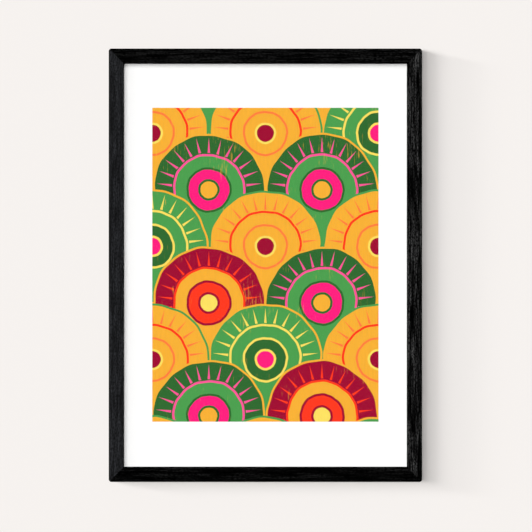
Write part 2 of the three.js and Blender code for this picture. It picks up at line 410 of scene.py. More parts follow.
# light and dark of the grain, set per rail: the upright rails come out lighter and the top and bottom
# ones darker, partly a real difference between boards and partly painted light, standing in for
# side light that catches the upright grain; how much rings, patches, pores and streaks darken it,
# from 0 to 1; relief in mm; and how much of the painted edge shade the outer edge takes
woodLook = {
    "rail_top": {"along": xAxis, "dark": "#000000", "light": "#222222", "seed": 1.3,
                 "rings": 6, "ringDepth": 0.65, "patches": 0.35, "pores": 1.0, "streaks": 0.9,
                 "relief": 0.05, "gloss": 0.005, "outerEdge": 0.85},
    "rail_right": {"along": zAxis, "dark": "#000000", "light": "#4A4A4A", "seed": 2.9,
                   "rings": 6, "ringDepth": 0.7, "patches": 0.85, "pores": 1.0, "streaks": 0.92,
                   "relief": 0.07, "gloss": 0.01, "outerEdge": 0.2},
    "rail_bottom": {"along": xAxis, "dark": "#000000", "light": "#1F1F1F", "seed": 7.7,
                    "rings": 6, "ringDepth": 0.75, "patches": 0.75, "pores": 1.0, "streaks": 0.9,
                    "relief": 0.05, "gloss": 0.003, "outerEdge": 0.85},
    "rail_left": {"along": zAxis, "dark": "#020202", "light": "#2D2E31", "seed": 11.9,
                  "rings": 6, "ringDepth": 0.5, "patches": 0.2, "pores": 0.75, "streaks": 0.6,
                  "relief": 0.06, "gloss": 0.1, "outerEdge": 0.9},
}


def blackStainedAsh(name, look):
    # ash, planed and stained black: near black and satin, with long wavy growth
    # rings and soft lighter patches that show when light comes from the side
    material, tree, place = newMaterial(name)
    along = look["along"]
    shift = Vector((1, 1, 1)) * look["seed"]

    def grainSpace(length):
        # squeezes the pattern along the rail, so that marks come out this many times longer
        squeeze = Vector((1, 1, 1)) - along * (1 - 1 / length)
        return addNode(tree, "Mapping", {"Vector": place, "Location": shift, "Scale": squeeze})

    # growth rings cut flat: contours of one long pattern, 2 to 6 mm apart
    figure = addNode(tree, "TexNoise", {
        "Vector": grainSpace(22), "Scale": 100, "Detail": 2, "Roughness": 0.4, "Distortion": 0.4})
    level = addNode(tree, "Math", {"operation": "MULTIPLY", 0: figure, 1: look["rings"]})
    step = addNode(tree, "Math", {"operation": "FRACT", 0: level})
    ring = addNode(tree, "ValToRGB", {
        "stops": [(0.0, (0.25, 0.25, 0.25, 1)), (0.12, (0, 0, 0, 1)), (0.32, (0.8, 0.8, 0.8, 1)),
                  (0.85, (1, 1, 1, 1)), (1.0, (0.25, 0.25, 0.25, 1))], "Fac": step})
    ringShade = addNode(tree, "MapRange", {"Value": ring, "To Min": 1 - look["ringDepth"]})
    # patches where the stain took more, about 8 mm by 70 mm, ragged along the grain
    patch = addNode(tree, "TexNoise", {
        "Vector": grainSpace(9), "Scale": 120, "Detail": 5, "Roughness": 0.6, "Distortion": 0.3})
    cloud = addNode(tree, "MapRange", {
        "Value": patch, "From Min": 0.42, "From Max": 0.62, "To Min": 1 - look["patches"]})
    grain = addNode(tree, "Math", {"operation": "MULTIPLY", 0: ringShade, 1: cloud})
    # open pores, really 0.3 mm wide, drawn about 1.5 mm by 4 mm so that they show
    pore = addNode(tree, "TexNoise", {
        "Vector": grainSpace(2.6), "Scale": 680, "Detail": 2, "Roughness": 0.6})
    poreShade = addNode(tree, "MapRange", {
        "Value": pore, "From Min": 0.41, "From Max": 0.57, "To Min": 1 - look["pores"]})
    # bundles of fibre, also drawn coarser: streaks about 1.4 mm wide and 30 mm long
    fibre = addNode(tree, "TexNoise", {
        "Vector": grainSpace(22), "Scale": 700, "Detail": 2, "Roughness": 0.6})
    fibreShade = addNode(tree, "MapRange", {
        "Value": fibre, "From Min": 0.4, "From Max": 0.6, "To Min": 1 - look["streaks"]})
    opened = addNode(tree, "Math", {"operation": "MULTIPLY", 0: grain, 1: poreShade})
    fine = addNode(tree, "Math", {"operation": "MULTIPLY", 0: opened, 1: fibreShade})
    # painted shade: the eased edges are coloured black, standing in for the shade where the rounded
    # edges turn away from the light
    eased = addNode(tree, "Attribute", {"attribute_name": "eased"})
    keep = addNode(tree, "Math", {"operation": "SUBTRACT", 0: 1.0, 1: eased.outputs["Fac"]})
    tone = addNode(tree, "Math", {"operation": "MULTIPLY", 0: fine, 1: keep})
    # the rail's own light and dark carry painted light: lighter on the upright rails, darker on the top
    # and bottom ones
    colour = addNode(tree, "ValToRGB", {
        "stops": [(0.02, hexLinear(look["dark"])), (0.85, hexLinear(look["light"]))], "Fac": tone})
    rough = addNode(tree, "MapRange", {"Value": tone, "To Min": 0.72, "To Max": 0.54})
    bump = addNode(tree, "Bump", {"Height": fine, "Strength": 1.0, "Distance": look["relief"] * mm})
    shader = addNode(tree, "BsdfPrincipled", {
        "Base Color": colour, "Roughness": rough, "Normal": bump, "IOR": 1.4,
        "Specular IOR Level": look["gloss"]})
    addNode(tree, "OutputMaterial", {"Surface": shader})
    return material


def markEasedEdges(rail, outward, outerEdge):
    # faces that are square to no axis are the eased edges, marked for painted shade; the outer one can
    # have less of that painted shade on it
    square = 0.97                 # a normal is at least this much along its axis
    half = max(abs((v.co - middle).dot(outward)) for v in rail.data.vertices)
    mark = rail.data.attributes.new("eased", "FLOAT", "CORNER")
    for polygon in rail.data.polygons:
        slanted = max(abs(side) for side in polygon.normal) < square
        outer = (polygon.center - middle).dot(outward) > half - mouldingLook["outerBand"]
        for corner in polygon.loop_indices:
            mark.data[corner].value = (outerEdge if outer else 1.0) if slanted else 0.0


def vNailCutters():
    # the V-nails' own solids, merged and grown a little, cut their slots
    cutters = []
    for name, node in frame["nodes"].items():
        if not name.startswith("v_nail"):
            continue
        slot = copyOf(node, "slot")
        slot.parent = None        # the copy is a cutter, not a node of the frame
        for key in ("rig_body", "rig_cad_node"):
            if key in slot:
                del slot[key]
        centre = boxOf(name)[2]
        editStart(slot)
        bpy.ops.mesh.select_all(action="SELECT")
        bpy.ops.mesh.remove_doubles(threshold=0.01 * mm)
        bpy.ops.mesh.normals_make_consistent(inside=False)
        bpy.ops.transform.shrink_fatten(value=mouldingLook["slotFit"])
        pick(slot, "VERT", lambda v: v.co.y > centre.y)
        bpy.ops.transform.translate(value=(0, mouldingLook["slotRunOut"], 0))
        editDone()
        cutters.append(slot)
    return cutters


def mouldingRing():
    look = mouldingLook
    low, high = Vector((leftEdge, frontFace, bottomEdge)), Vector((rightEdge, backFace, topEdge))
    ring = addBlock("moulding", low, high)
    editStart(ring)
    roundEdges(ring, look["cornerRadius"], 8, runsInDepth)
    roundRim(ring, frontFace, look["easedEdge"], 5)
    roundRim(ring, backFace, look["sharpEdge"], 2)
    editDone()

    beyond = yAxis * 10 * mm      # cutters run past the faces that they open
    inner = Vector((faceWidth, 0, faceWidth))
    cutWith(ring, addBlock("sight", low + inner - beyond, high - inner + beyond))
    inner = Vector((look["rebateInset"], 0, look["rebateInset"]))
    cutWith(ring, addBlock("rebate", low + inner + yAxis * look["lip"], high - inner + beyond))

    def onSightEdge(e):
        loose = 0.1 * mm
        halfX = (rightEdge - leftEdge) / 2 - faceWidth + loose
        halfZ = (topEdge - bottomEdge) / 2 - faceWidth + loose
        return all(abs(v.co.x - middle.x) < halfX and abs(v.co.z - middle.z) < halfZ
                   and near(v.co.y, frontFace) for v in e.verts)

    editStart(ring)
    roundEdges(ring, look["easedEdge"], 5, onSightEdge)
    editDone()

    cutters = vNailCutters()
    for name in frame["nodes"]:
        if "_screw_" in name or name.startswith("hanger_nail"):
            low, high, centre = boxOf(name)
            shank = look["nailShank"] if name.startswith("hanger") else look["screwShank"]
            cutters.append(addDisc("pilot", shank + look["slotFit"], high.y - low.y, centre, 20))
    cutWith(ring, joinAll(cutters, "cutters"))
    return ring


def buildRails():
    ring = mouldingRing()
    across, up = (rightEdge - leftEdge) / 2, (topEdge - bottomEdge) / 2
    sides = {
        "rail_top": (zAxis, up, xAxis, across), "rail_right": (xAxis, across, zAxis, up),
        "rail_bottom": (-zAxis, up, xAxis, across), "rail_left": (-xAxis, across, zAxis, up),
    }
    for node, (outward, halfOut, along, halfAlong) in sides.items():
        rail = copyOf(ring, node.replace("_", "") + "Wood")
        for end in (1, -1):
            corner = middle + outward * halfOut + along * end * halfAlong
            normal = (along * end - outward).normalized()
            editStart(rail)
            bpy.ops.mesh.select_all(action="SELECT")
            bpy.ops.mesh.bisect(plane_co=corner - normal * mouldingLook["mitreGap"],
                                plane_no=normal, use_fill=True, clear_outer=True)
            editDone()
        smoothByAngle(rail)
        markEasedEdges(rail, outward, woodLook[node]["outerEdge"])
        finishPiece(rail, blackStainedAsh(node + "_blackStainedAsh", woodLook[node]),
                    node)
        print(node, "made,", len(rail.data.polygons), "faces")
    bpy.data.objects.remove(ring)


buildRails()


# acrylic sheet, print, foam board and back

glazingLook = {"sawnEdge": 0.12 * mm}
foamLook = {"facingInset": 0.4 * mm, "softCorner": 0.3 * mm}
hardboardLook = {"sandedEdge": 0.35 * mm}

printLook = {
    "sideMargin": 41 * mm,        # white left inside the frame
    "topMargin": 63.7 * mm,
    "bottomMargin": 65.2 * mm,
    "fansAcross": 2,
    "firstRow": 0.55,             # its middles stand this share of a radius above the block
    "handWobble": 0.013,          # how far a cut edge strays, as a share of the radius
    # waves round a fan, their share of the stray, and how its own phase moves them
    "wobbles": [(3, 1, 1), (7, 0.6, 2.3), (16, 0.4, 5)],
    "arcSteps": 144,
    "rays": 13,
    "rayRoot": 0.66,
    "rayTip": 0.93,
    "rayHalfAngle": 0.034,
    "plainAngle": 0.35,           # half of the plain wedge under a fan
    "ground": "golden",           # the ink under all the others
    "seed": 5,
}

# each ring of a fan ends at this share of the radius
ringEnds = [0.15, 0.19, 0.36, 0.40, 0.60, 0.64, 0.965, 1.0]

inks = {
    "golden": "#F4B036", "darkGreen": "#2F6930", "leafGreen": "#4C9E4F", "crimson": "#9E0A32",
    "hotPink": "#FD1E7E", "pink": "#FD5498", "paleYellow": "#F9DE62", "orange": "#FD7F3F",
    "redOrange": "#FD391E",
}

# inks from the middle of a fan outwards, then the ink of its rays
fanColours = {
    "darkGreen": ["golden", "darkGreen", "hotPink", "darkGreen", "leafGreen", "pink",
                  "darkGreen", "golden", "pink"],
    "golden": ["crimson", "paleYellow", "golden", "orange", "golden", "redOrange",
               "golden", "leafGreen", "orange"],
    "crimson": ["paleYellow", "crimson", "redOrange", "crimson", "golden", "redOrange",
                "crimson", "golden", "redOrange"],
    "leafGreen": ["hotPink", "paleYellow", "darkGreen", "paleYellow", "leafGreen", "paleYellow",
                  "leafGreen", "golden", "paleYellow"],
}


def castAcrylic(name):
    # clear acrylic with a low-reflection coating: its gloss only shows at a slant
    material, tree, place = newMaterial(name)
    # hardly visible waves from casting, about 60 mm across
    wave = addNode(tree, "TexNoise", {"Vector": place, "Scale": 16, "Detail": 1})
    bump = addNode(tree, "Bump", {"Height": wave, "Strength": 0.3, "Distance": 0.05 * mm})
    clear = addNode(tree, "BsdfTransparent", {"Color": hexLinear("#FFFFFF")})
    gloss = addNode(tree, "BsdfGlossy", {"Roughness": 0.04, "Normal": bump})
    slant = addNode(tree, "LayerWeight", {"Blend": 0.5})
    power = addNode(tree, "Math", {"operation": "POWER", 0: slant.outputs["Facing"], 1: 5})
    mirror = addNode(tree, "MapRange", {"Value": power, "To Min": 0.006, "To Max": 0.9})
    surface = addNode(tree, "MixShader", {0: mirror, 1: clear, 2: gloss})
    addNode(tree, "OutputMaterial", {"Surface": surface})
    return material


def cottonPaper(name):
    # matt cotton paper: white, with a faint tooth, drawn 1 mm across so that it shows
    material, tree, place = newMaterial(name)
    tooth = addNode(tree, "TexNoise", {"Vector": place, "Scale": 900, "Detail": 4, "Roughness": 0.6})
    colour = addNode(tree, "ValToRGB", {
        "stops": [(0.3, hexLinear("#FBFBFA")), (0.7, hexLinear("#FDFDFC"))], "Fac": tooth})
    bump = addNode(tree, "Bump", {"Height": tooth, "Strength": 0.25, "Distance": 0.06 * mm})
    shader = addNode(tree, "BsdfPrincipled", {
        "Base Color": colour, "Roughness": 0.9, "Normal": bump, "IOR": 1.3, "Specular IOR Level": 0.3})
    addNode(tree, "OutputMaterial", {"Surface": shader})
    return material


def printedInk(name):
    # matt pigment ink on cotton paper: flat colour, broken by dry brush streaks
    # and a few specks where the ground shows through
    material, tree, place = newMaterial(name)
    ink = addNode(tree, "Attribute", {"attribute_name": "ink"})
    brushSpace = addNode(tree, "Mapping", {
        "Vector": place, "Rotation": (0, math.radians(14), 0), "Scale": (1, 1, 0.09)})
    # bristle marks about 2 mm apart and 20 mm long, in patches about 40 mm across
    bristle = addNode(tree, "TexNoise", {
        "Vector": brushSpace, "Scale": 520, "Detail": 3, "Roughness": 0.6})
    patch = addNode(tree, "TexNoise", {"Vector": place, "Scale": 24, "Detail": 2})
    gather = addNode(tree, "Math", {"operation": "MULTIPLY_ADD", 0: patch, 1: 0.6, 2: bristle})
    dry = addNode(tree, "MapRange", {
        "Value": gather, "From Min": 0.96, "From Max": 1.08, "To Max": 0.5})
    ground = addNode(tree, "Mix", {
        "data_type": "RGBA", 0: dry, 6: ink, 7: hexLinear(inks[printLook["ground"]])})
    # an uneven film of ink: tone drifts a little
    drift = addNode(tree, "MapRange", {
        "Value": bristle, "From Min": 0.3, "From Max": 0.7, "To Min": 0.95, "To Max": 1.04})
    tone = addNode(tree, "VectorMath", {"operation": "SCALE", 0: ground.outputs[2], "Scale": drift})
    tooth = addNode(tree, "TexNoise", {"Vector": place, "Scale": 900, "Detail": 3})
    bump = addNode(tree, "Bump", {"Height": tooth, "Strength": 0.25, "Distance": 0.05 * mm})
    shader = addNode(tree, "BsdfPrincipled", {
        "Base Color": tone, "Roughness": 0.82, "Normal": bump, "IOR": 1.35, "Specular IOR Level": 0.1})
    addNode(tree, "OutputMaterial", {"Surface": shader})
    return material


def layFans():
    # rows of fans like fish scales, each row set half a fan along; lower rows lie in front
    sight = faceWidth + printLook["sideMargin"]
    left, right = leftEdge + sight, rightEdge - sight
    top = topEdge - faceWidth - printLook["topMargin"]
    bottom = bottomEdge + faceWidth + printLook["bottomMargin"]
    radius = (right - left) / printLook["fansAcross"] / 2
    draw = random.Random(printLook["seed"])
    fans = []
    for row in range(int((top - bottom) / radius) + 3):
        z = top + printLook["firstRow"] * radius - row * radius
        kinds = (["golden", "leafGreen", "golden"] if row % 2
                 else ["darkGreen", "crimson", "darkGreen"])
        for column in range(-1, printLook["fansAcross"] + 2):
            x = left + (2 * column + 1 + row % 2) * radius
            kind = kinds[(column + row // 2 * 2) % len(kinds)]
            fans.append({"x": x, "z": z, "row": row, "kind": kind,
                         "phase": draw.uniform(0, 6.28)})
    fans.sort(key=lambda fan: (-fan["row"], fan["x"]))
    return fans, radius, (left, right, bottom, top)


def fanReach(fan, angle):
    # a cut edge that strays a little from a true circle
    stray = sum(share * math.sin(waves * angle + turn * fan["phase"])
                for waves, share, turn in printLook["wobbles"])
    return 1 + printLook["handWobble"] * stray


def fanAt(fans, radius, x, z):
    # the front-most fan at a place, how far out in it, and at what angle
    for fan in fans:
        dx, dz = x - fan["x"], z - fan["z"]
        if abs(dx) < 1.1 * radius and abs(dz) < 1.1 * radius:
            angle = math.atan2(dz, dx)
            share = math.hypot(dx, dz) / (radius * fanReach(fan, angle))
            if share < 1:
                return fan, share, angle
    return None, 0, 0


def rayWidth(share):
    root, tip = printLook["rayRoot"], printLook["rayTip"]
    return printLook["rayHalfAngle"] * (tip - share) / (tip - root) if root < share < tip else 0


def inkAt(fans, radius, x, z):
    fan, share, angle = fanAt(fans, radius, x, z)
    if not fan:
        return printLook["ground"]
    colours = fanColours[fan["kind"]]
    if share > ringEnds[4] and abs(angle + math.pi / 2) < printLook["plainAngle"]:
        return colours[4]         # plain where it shows between the two fans under it
    gap = math.pi / printLook["rays"]
    off = (angle - gap / 2) % gap
    if min(off, gap - off) < rayWidth(share):
        return colours[-1]
    return colours[next(i for i, end in enumerate(ringEnds) if share < end)]


def fanLines(fans, radius):
    # every cut that shows, as pairs of points
    lines = []

    def shows(fan, x, z):
        within = 0.996            # looked up just inside the cut
        return fanAt(fans, radius, fan["x"] + (x - fan["x"]) * within,
                     fan["z"] + (z - fan["z"]) * within)[0] is fan

    def walkRound(fan, points):
        for a, b in zip(points, points[1:] + points[:1]):
            if shows(fan, *a) or shows(fan, *b):
                lines.append((a, b))

    def spot(fan, share, angle):
        reach = radius * share * fanReach(fan, angle)
        return fan["x"] + reach * math.cos(angle), fan["z"] + reach * math.sin(angle)

    steps, gap = printLook["arcSteps"], math.pi / printLook["rays"]
    root, tip, half = printLook["rayRoot"], printLook["rayTip"], printLook["rayHalfAngle"]
    for fan in fans:
        for end in ringEnds:
            walkRound(fan, [spot(fan, end, 2 * math.pi * k / steps) for k in range(steps)])
        for k in range(2 * printLook["rays"]):
            angle = gap / 2 + gap * k
            walkRound(fan, [spot(fan, root, angle - half), spot(fan, tip, angle),
                            spot(fan, root, angle + half)])
    return lines


def buildPrint():
    low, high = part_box("print")
    fans, radius, (left, right, bottom, top) = layFans()
    corners = [(left, bottom), (right, bottom), (right, top), (left, top)]
    outer = [(low.x, low.z), (high.x, low.z), (high.x, high.z), (low.x, high.z)]
    points, edges = [], []
    for ring in (outer, corners):
        base = len(points)
        points += ring
        edges += [(base + i, base + (i + 1) % 4) for i in range(4)]
    for a, b in fanLines(fans, radius):
        inside = [left < x < right and bottom < z < top for x, z in (a, b)]
        if any(inside):
            edges.append((len(points), len(points) + 1))
            points += [a, b]
    scale, tolerance = 1000, 0.004    # worked out in millimetres
    cut = delaunay_2d_cdt([Vector(p) * scale for p in points], edges, [], 0, tolerance)
    print("print cut into", len(cut[2]), "facets")

    sheet = addBlock("printSheet", low, high)
    editStart(sheet)
    pick(sheet, "FACE", lambda f: f.normal.y < -0.5)
    bpy.ops.mesh.delete(type="FACE")
    editDone()

    face = bpy.data.meshes.new("printFace")
    face.from_pydata([(v.x / scale, low.y, v.y / scale) for v in cut[0]], [],
                     [list(f) for f in cut[2]])
    front = bpy.data.objects.new("printFace", face)
    bpy.context.collection.objects.link(front)
    sheet = joinAll([sheet, front], "printSheet")
    editStart(sheet)
    bpy.ops.mesh.select_all(action="SELECT")
    bpy.ops.mesh.remove_doubles(threshold=0.0005 * mm)
    bpy.ops.mesh.normals_make_consistent(inside=False)
    editDone()

    finishPiece(sheet, cottonPaper("cottonPaper"), "print")
    sheet.data.materials.append(printedInk("mattPigmentInk"))
    colours = {name: hexLinear(code) for name, code in inks.items()}
    white = hexLinear("#FBFAF8")
    attribute = sheet.data.color_attributes.new("ink", "FLOAT_COLOR", "CORNER")
    for polygon in sheet.data.polygons:
        x, z = polygon.center.x, polygon.center.z
        printed = polygon.normal.y < -0.5 and left < x < right and bottom < z < top
        polygon.material_index = 1 if printed else 0
        colour = colours[inkAt(fans, radius, x, z)] if printed else white
        for corner in polygon.loop_indices:
            attribute.data[corner].color = colour


def hardboardBack(name):
    # standard hardboard: pressed brown fibre, with smooth dark flecks in the face
    material, tree, place = newMaterial(name)
    # faint unevenness from the press, about 110 mm across
    cloud = addNode(tree, "TexNoise", {"Vector": place, "Scale": 9, "Detail": 5})
    # fibres drawn 1.2 mm across, twice as coarse as real ones, so that they show
    fibre = addNode(tree, "TexNoise", {
        "Vector": place, "Scale": 850, "Detail": 5, "Roughness": 0.7, "Distortion": 1.4})
    mixed = addNode(tree, "Math", {"operation": "MULTIPLY_ADD", 0: cloud, 1: 0.16, 2: fibre})
    colour = addNode(tree, "ValToRGB", {
        "stops": [(0.31, hexLinear("#4A2E1C")), (0.53, hexLinear("#7B5436")),
                  (0.76, hexLinear("#98704B"))], "Fac": mixed})
    bump = addNode(tree, "Bump", {"Height": fibre, "Strength": 0.5, "Distance": 0.12 * mm})
    shader = addNode(tree, "BsdfPrincipled", {"Base Color": colour, "Roughness": 0.62, "Normal": bump})
    addNode(tree, "OutputMaterial", {"Surface": shader})
    return material


def foamWithPaperFacings(name, low, high):
    # foam board: white foam between two smooth papers, with open cells at the cut edge
    material, tree, place = newMaterial(name)
    split = addNode(tree, "SeparateXYZ", {"Vector": place})
    depth = addNode(tree, "MapRange", {
        "Value": split.outputs["Y"], "From Min": low.y, "From Max": high.y})
    facing = addNode(tree, "ValToRGB", {
        "stops": [(0.0, (1, 1, 1, 1)), (0.04, (1, 1, 1, 1)), (0.05, (0, 0, 0, 1)), (0.95, (0, 0, 0, 1)),
                  (0.96, (1, 1, 1, 1))], "Fac": depth})
    # cells drawn 0.7 mm across, a few times their real width, so that they show
    cells = addNode(tree, "TexVoronoi", {"Vector": place, "Scale": 1400})
    colour = addNode(tree, "Mix", {
        "data_type": "RGBA", 0: facing, 6: hexLinear("#E4E3DE"), 7: hexLinear("#F1F0EC")})
    height = addNode(tree, "Math", {"operation": "SUBTRACT", 0: cells, 1: facing})
    bump = addNode(tree, "Bump", {"Height": height, "Strength": 0.4, "Distance": 0.2 * mm})
    shader = addNode(tree, "BsdfPrincipled", {
        "Base Color": colour.outputs[2], "Roughness": 0.8, "Normal": bump})
    addNode(tree, "OutputMaterial", {"Surface": shader})
    return material


def buildFlats():
    glass = addBlock("acrylicSheet", *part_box("glazing"))
    editStart(glass)
    roundEdges(glass, glazingLook["sawnEdge"], 1, lambda e: True)
    editDone()
    finishPiece(glass, castAcrylic("clearCastAcrylic"), "glazing")

    foam = addBlock("foamBoard", *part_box("foam_board"))
    editStart(foam)
    pick(foam, "FACE", lambda f: abs(f.normal.y) > 0.5)
    bpy.ops.mesh.inset(thickness=foamLook["facingInset"])
    roundEdges(foam, foamLook["softCorner"], 2, runsInDepth)
    editDone()
    finishPiece(foam, foamWithPaperFacings("paperFacedFoam", *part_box("foam_board")),
                "foam_board")

    back = addBlock("hardboardBack", *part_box("backing_board"))
    editStart(back)
    roundEdges(back, hardboardLook["sandedEdge"], 3, lambda e: True)
    editDone()
    smoothByAngle(back)
    finishPiece(back, hardboardBack("brownHardboard"), "backing_board")


buildFlats()
buildPrint()
print("sheets and boards ready")


# turn buttons, their screws, the hanger, its nails and the pads

buttonLook = {
    "rootRadius": 4.5 * mm, "tipRadius": 3.5 * mm, "arm": 18.5 * mm,
    "roundedEdge": 0.18 * mm,
    "hole": 1.8 * mm, "holeCutter": 4 * mm,
    "beadStart": 6.6 * mm, "beadEnd": 17 * mm,  # from the pivot along the arm
    "beadRootRadius": 1.5 * mm, "beadTipRadius": 1.1 * mm, "beadHeight": 0.4 * mm,
    "beadRound": 0.9,             # the share of its height that is rounded over
}

screwLook = {
    "head": 3 * mm, "headHeight": 1.6 * mm, "domed": 0.95 * mm,
    "shank": 1.45 * mm, "threadRoot": 1.1 * mm, "pitch": 1.3 * mm,
    "point": 2.5 * mm, "tipShare": 0.06,
    "slotWide": 0.8 * mm, "slotLong": 3.4 * mm, "slotDeep": 0.9 * mm,
    "turnSeed": 11,               # each one is driven to its own angle
}


def brightZincPlate(name):
    # pressed steel with bright zinc plating: blue grey, with crystals and faint scuffs
    material, tree, place = newMaterial(name)
    # zinc crystals about 2.5 mm across
    spangle = addNode(tree, "TexVoronoi", {"Vector": place, "Scale": 400})
    scuff = addNode(tree, "TexNoise", {"Vector": place, "Scale": 700, "Detail": 6, "Roughness": 0.7})
    shade = addNode(tree, "SeparateColor", {"Color": spangle.outputs["Color"]})
    colour = addNode(tree, "ValToRGB", {
        "stops": [(0.0, hexLinear("#A9B0B7")), (0.6, hexLinear("#BCC1C6")),
                  (1.0, hexLinear("#C9CBC6"))], "Fac": shade})
    rough = addNode(tree, "MapRange", {
        "Value": scuff, "From Min": 0.3, "From Max": 0.7, "To Min": 0.28, "To Max": 0.46})
    bump = addNode(tree, "Bump", {"Height": scuff, "Strength": 0.2, "Distance": 0.03 * mm})
    shader = addNode(tree, "BsdfPrincipled", {
        "Base Color": colour, "Metallic": 1.0, "Roughness": rough, "Normal": bump})
    addNode(tree, "OutputMaterial", {"Surface": shader})
    return material


def brassPlate(name):
    # brass-plated steel: warm yellow, rolled, a little dulled in patches
    material, tree, place = newMaterial(name)
    stretch = addNode(tree, "Mapping", {"Vector": place, "Scale": (0.08, 1, 1)})
    # rolling lines about 0.6 mm apart
    rolled = addNode(tree, "TexNoise", {"Vector": stretch, "Scale": 1600, "Detail": 3})
    dull = addNode(tree, "TexNoise", {"Vector": place, "Scale": 140, "Detail": 4})
    colour = addNode(tree, "ValToRGB", {
        "stops": [(0.35, hexLinear("#C4A968")), (0.65, hexLinear("#D8C084"))], "Fac": dull})
    rough = addNode(tree, "MapRange", {
        "Value": dull, "From Min": 0.3, "From Max": 0.7, "To Min": 0.40, "To Max": 0.24})
    bump = addNode(tree, "Bump", {"Height": rolled, "Strength": 0.25, "Distance": 0.03 * mm})
    shader = addNode(tree, "BsdfPrincipled", {
        "Base Color": colour, "Metallic": 1.0, "Roughness": rough, "Normal": bump})
    addNode(tree, "OutputMaterial", {"Surface": shader})
    return material


def hardenedStrip(name):
    # V-nails of hardened strip steel: dark grey, with rolling lines 0.5 mm apart
    material, tree, place = newMaterial(name)
    stretch = addNode(tree, "Mapping", {"Vector": place, "Scale": (1, 0.1, 1)})
    rolled = addNode(tree, "TexNoise", {"Vector": stretch, "Scale": 2200, "Detail": 3})
    colour = addNode(tree, "ValToRGB", {
        "stops": [(0.3, hexLinear("#7E8184")), (0.7, hexLinear("#9C9FA1"))], "Fac": rolled})
    bump = addNode(tree, "Bump", {"Height": rolled, "Strength": 0.3, "Distance": 0.02 * mm})
    shader = addNode(tree, "BsdfPrincipled", {
        "Base Color": colour, "Metallic": 1.0, "Roughness": 0.38, "Normal": bump})
    addNode(tree, "OutputMaterial", {"Surface": shader})
    return material


def charcoalFelt(name):
    # pressed wool felt: matt, dark grey, with lighter fibres lying every way
    material, tree, place = newMaterial(name)
    # fibres drawn about 0.3 mm thick, several times their real width, so that they show
    fibre = addNode(tree, "TexNoise", {
        "Vector": place, "Scale": 1500, "Detail": 4, "Roughness": 0.75, "Distortion": 2.5})
    colour = addNode(tree, "ValToRGB", {
        "stops": [(0.35, hexLinear("#262728")), (0.62, hexLinear("#3B3C3E")),
                  (0.75, hexLinear("#5A5B5C"))], "Fac": fibre})
    bump = addNode(tree, "Bump", {"Height": fibre, "Strength": 0.8, "Distance": 0.2 * mm})
    shader = addNode(tree, "BsdfPrincipled", {
        "Base Color": colour, "Roughness": 0.95, "Normal": bump, "Sheen Weight": 0.4,
        "Sheen Roughness": 0.5, "Specular IOR Level": 0.2})
    addNode(tree, "OutputMaterial", {"Surface": shader})
    return material


def taperedPlate(name, root, rootRadius, tip, tipRadius, thickness, edge):
    # a flat arm with round ends: the hull of two discs, its rims rounded over
    ends = [addDisc("end", rootRadius, thickness, root, 40),
            addDisc("end", tipRadius, thickness, tip, 40)]
    plate = joinAll(ends, name)
    editStart(plate)
    bpy.ops.mesh.select_all(action="SELECT")
    bpy.ops.mesh.convex_hull()
    bpy.ops.mesh.select_all(action="SELECT")
    bpy.ops.mesh.dissolve_limited(angle_limit=math.radians(1))
    roundEdges(plate, edge, 3, lambda e: not runsInDepth(e))
    editDone()
    return plate


def turnButtonPlate():
    # modelled at the first pivot, with its arm pointing down
    look = buttonLook
    low, high, centre = boxOf("turn_button_1")
    pivot = Vector(frame["joints"][0]["pos_m"])
    centre.x, centre.z = pivot.x, pivot.z
    plate = taperedPlate("turnButtonPlate", centre, look["rootRadius"],
                         centre - zAxis * look["arm"], look["tipRadius"], high.y - low.y,
                         look["roundedEdge"])
    # a stiffening bead pressed up along the arm
    bead = taperedPlate("bead", centre - zAxis * look["beadStart"], look["beadRootRadius"],
                        centre - zAxis * look["beadEnd"], look["beadTipRadius"],
                        high.y - low.y, look["beadHeight"] * look["beadRound"])
    bead.data.transform(Matrix.Translation(yAxis * look["beadHeight"]))
    applyModifier(plate, "BOOLEAN", operation="UNION", solver="MANIFOLD", object=bead)
    bpy.data.objects.remove(bead)
    cutWith(plate, addDisc("hole", look["hole"], look["holeCutter"], centre, 32))
    smoothByAngle(plate, 40)
    return plate


def extrudeForwards(reach, size, centre):
    # draws the selected face out towards the front and scales it
    bpy.ops.mesh.extrude_region_move(TRANSFORM_OT_translate={"value": (0, -reach, 0)})
    bpy.ops.transform.resize(value=(size, 1, size), center_override=centre)


def panHeadScrew():
    look = screwLook
    low, high, centre = boxOf("turn_button_screw_1")
    headFront = high.y - look["headHeight"]
    screw = addDisc("panHeadScrew", look["head"], high.y - headFront,
                    (centre.x, (high.y + headFront) / 2, centre.z), 32)
    editStart(screw)
    roundRim(screw, high.y, look["domed"], 5)
    pick(screw, "FACE", lambda f: f.normal.y < -0.9)
    bpy.ops.mesh.inset(thickness=look["head"] - look["shank"])
    # thread: rings of crest and root down to the point
    length = headFront - low.y - look["point"]
    turns = int(length / look["pitch"])
    step = length / turns / 2
    narrow = look["threadRoot"] / look["shank"]
    for i in range(2 * turns):
        extrudeForwards(step, narrow if i % 2 == 0 else 1 / narrow, centre)
    extrudeForwards(look["point"], look["tipShare"], centre)
    editDone()
    deep, wide, long = look["slotDeep"], look["slotWide"] / 2, look["slotLong"] / 2
    for reachX, reachZ in ((long, wide), (wide, long)):
        arm = addBlock("recess", (centre.x - reachX, high.y - deep, centre.z - reachZ),
                       (centre.x + reachX, high.y + mm, centre.z + reachZ))
        cutWith(screw, arm)
    smoothByAngle(screw, 35)
    return screw


def aboutWallAxis(point, degrees):
    # a turn about an axis that points at the wall, through a point
    turn = Matrix.Rotation(math.radians(degrees), 4, "Y")
    return Matrix.Translation(point) @ turn @ Matrix.Translation(-point)


